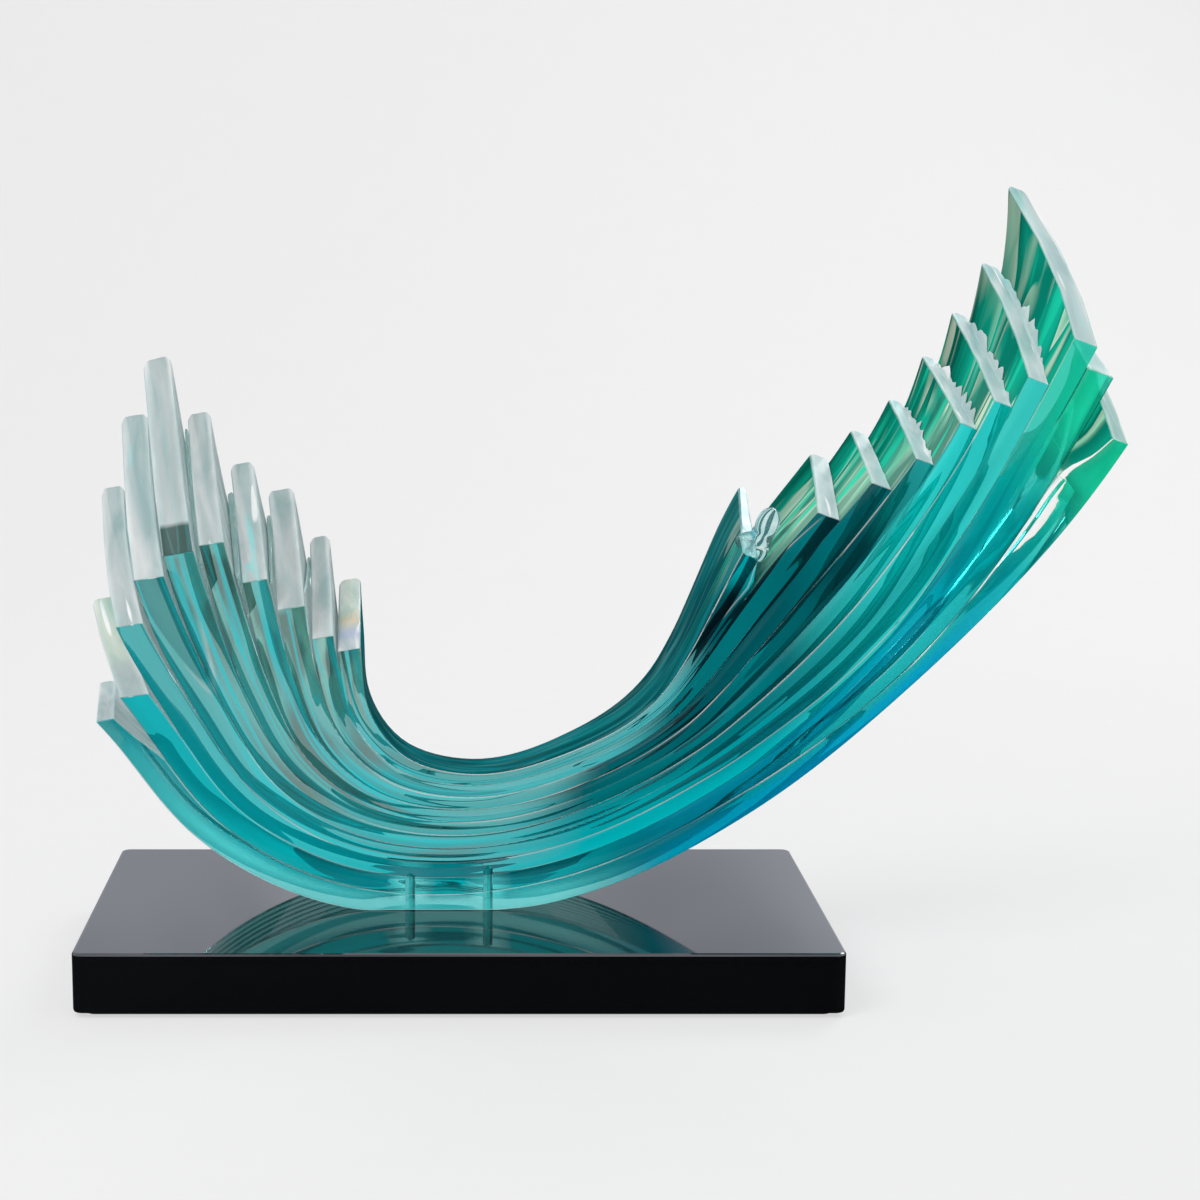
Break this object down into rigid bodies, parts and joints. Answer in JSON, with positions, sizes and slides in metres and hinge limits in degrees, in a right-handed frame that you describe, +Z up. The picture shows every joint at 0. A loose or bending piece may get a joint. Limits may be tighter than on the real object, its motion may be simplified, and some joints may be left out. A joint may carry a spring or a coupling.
{
  "type": "wave sculpture",
  "caption": "Tabletop sculpture: bent turquoise resin bars nested like a leaf spring into a breaking wave, pinned to a flat gloss black plinth.",
  "frame": {"origin": "centre of the felt underside that the sculpture stands on", "axes": "+X to the viewer's right along the plinth's length, +Y away from the viewer, +Z up"},
  "size_m": [0.4199, 0.15, 0.3194],
  "materials": {
    "resin_outer": "polished translucent turquoise-blue casting resin",
    "resin_middle": "polished translucent teal casting resin, frosted end faces",
    "resin_inner": "polished translucent grey-green casting resin, frosted end faces",
    "resin_clear": "clear rippled resin",
    "gloss_black": "mirror-polished black",
    "felt": "pressed felt",
    "steel": "plain zinc-plated steel"
  },
  "bodies": {
    "root": {"bar_01": "resin_outer", "bar_02": "resin_outer", "bar_03": "resin_outer", "bar_04": "resin_middle", "bar_05": "resin_middle", "bar_06": "resin_middle", "bar_07": "resin_middle", "bar_08": "resin_inner", "bar_09": "resin_inner", "bar_10": "resin_inner", "web_05_06": "resin_clear", "web_06_07": "resin_clear", "web_07_08": "resin_clear", "web_08_09": "resin_clear", "base_plinth": "gloss_black", "base_felt": "felt", "stud_left": "steel", "stud_right": "steel", "washer_left": "steel", "washer_right": "steel", "nut_left": "steel", "nut_right": "steel"}
  },
  "joints": []
}
